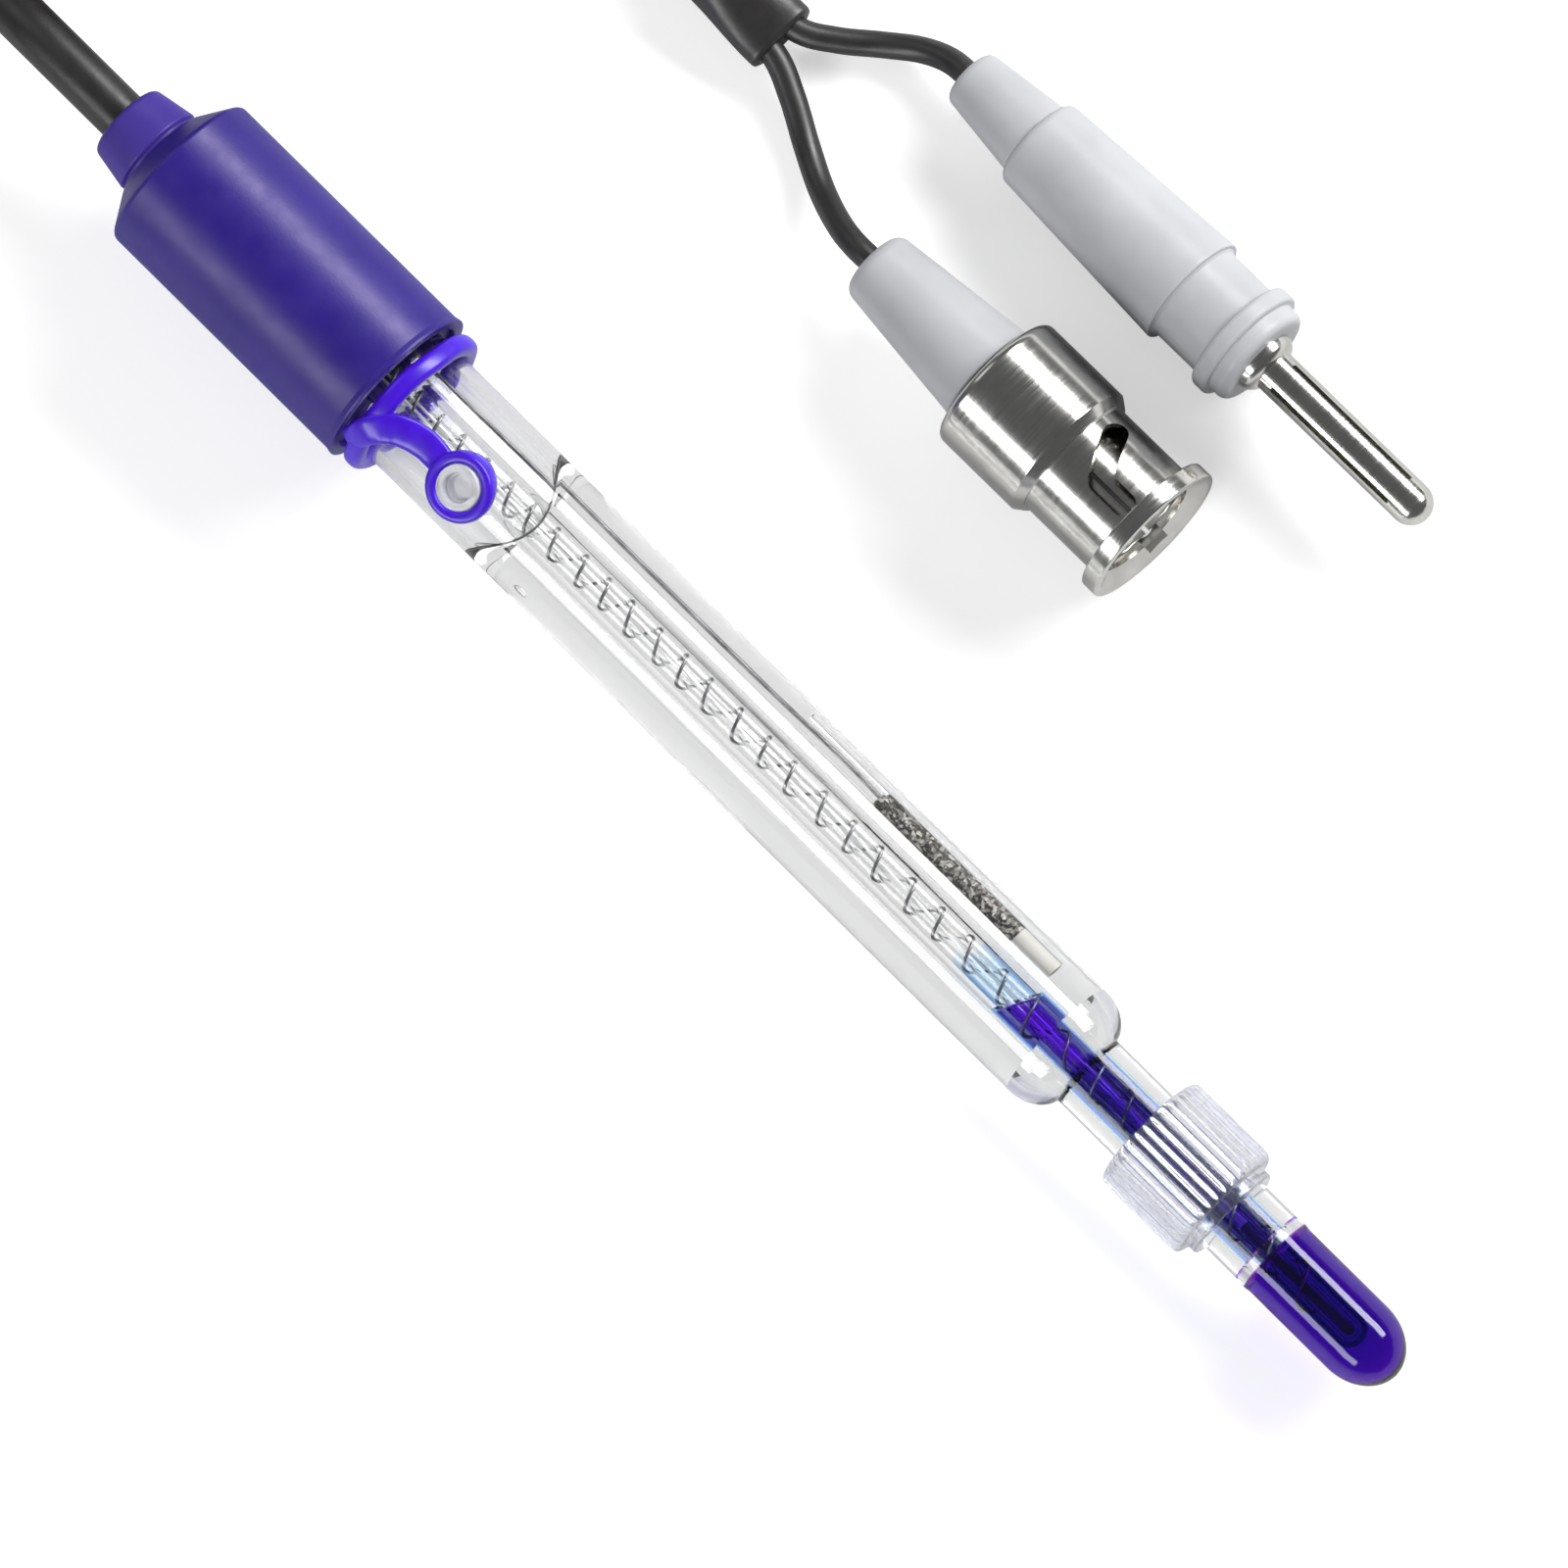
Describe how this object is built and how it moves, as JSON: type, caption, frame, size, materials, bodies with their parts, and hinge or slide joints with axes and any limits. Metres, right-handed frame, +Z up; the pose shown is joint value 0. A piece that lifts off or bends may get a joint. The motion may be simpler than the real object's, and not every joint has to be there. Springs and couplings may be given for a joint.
{
  "type": "ph electrode",
  "caption": "Refillable glass pH electrode with sliding junction sleeve, violet cap, refill stopper on a strap, coiled cable, BNC plug and temperature plug.",
  "frame": {"origin": "on the floor, under the middle of the electrode's length", "axes": "+Z up from the floor the electrode lies on; +X from the cable end towards the glass bulb; the cap's rim and the sleeve rest on the floor, so the electrode's own axis dips towards +X by 1.24 degrees"},
  "size_m": [0.2264, 0.0714, 0.0167],
  "materials": {
    "cap_plastic": "satin",
    "potting_resin": "matt",
    "clear_glass": "polished",
    "membrane_glass": "polished",
    "buffer_gel": "clear gel",
    "electrolyte": "clear liquid",
    "silver": "dull drawn wire",
    "chloride": "granular",
    "ceramic": "matt",
    "sensor_resin": "matt",
    "lead_wire": "enamelled",
    "violet_silicone": "satin",
    "clear_plug": "translucent",
    "sleeve_plastic": "translucent",
    "cable_jacket": "satin",
    "plug_plastic": "satin",
    "nickel": "nickel plated",
    "spring_steel": "rolled",
    "gasket_rubber": "matt",
    "insulator_plastic": "satin",
    "gold": "gold plated"
  },
  "bodies": {
    "electrode": {"cap_shell": "cap_plastic", "strain_relief": "cap_plastic", "potting": "potting_resin", "glass_body": "clear_glass", "stem_tube": "clear_glass", "membrane_bulb": "membrane_glass", "inner_buffer": "buffer_gel", "silver_coil": "silver", "sensor_capillary": "clear_glass", "temperature_sensor": "sensor_resin", "sensor_leads": "lead_wire", "reference_cartridge": "clear_glass", "silver_chloride": "chloride", "cartridge_plug": "ceramic", "reference_wire": "silver", "reference_electrolyte": "electrolyte", "refill_band": "violet_silicone", "cable": "cable_jacket", "cable_coil": "cable_jacket", "cable_return": "cable_jacket", "cable_splitter": "cable_jacket", "signal_lead": "cable_jacket", "temperature_lead": "cable_jacket", "signal_boot": "plug_plastic", "signal_body": "nickel", "signal_spring": "spring_steel", "signal_gasket": "gasket_rubber", "signal_insulator": "insulator_plastic", "signal_pin": "gold", "temperature_boot": "plug_plastic", "temperature_handle": "plug_plastic", "temperature_collar": "plug_plastic", "temperature_pin": "nickel"},
    "sleeve": {"junction_sleeve": "sleeve_plastic"},
    "stopper": {"refill_eyelet": "violet_silicone", "refill_plug": "clear_plug"},
    "coupling_nut": {"signal_nut": "nickel"}
  },
  "joints": [
    {"name": "sleeve_slide", "type": "slide", "parent": "electrode", "child": "sleeve", "axis": [-0.9998, 0, 0.0217], "range_m": [0, 0.0055]},
    {"name": "stopper_hinge", "type": "hinge", "parent": "electrode", "child": "stopper", "pos_m": [-0.03747, -0.00187, 0.01418], "axis": [-0.0072, -0.9432, -0.3321], "range_deg": [0, 75]},
    {"name": "nut_turn", "type": "hinge", "parent": "electrode", "child": "coupling_nut", "pos_m": [-0.0075, 0.0369, 0.00686], "axis": [0.9998, 0, 0.0198], "continuous": true}
  ]
}
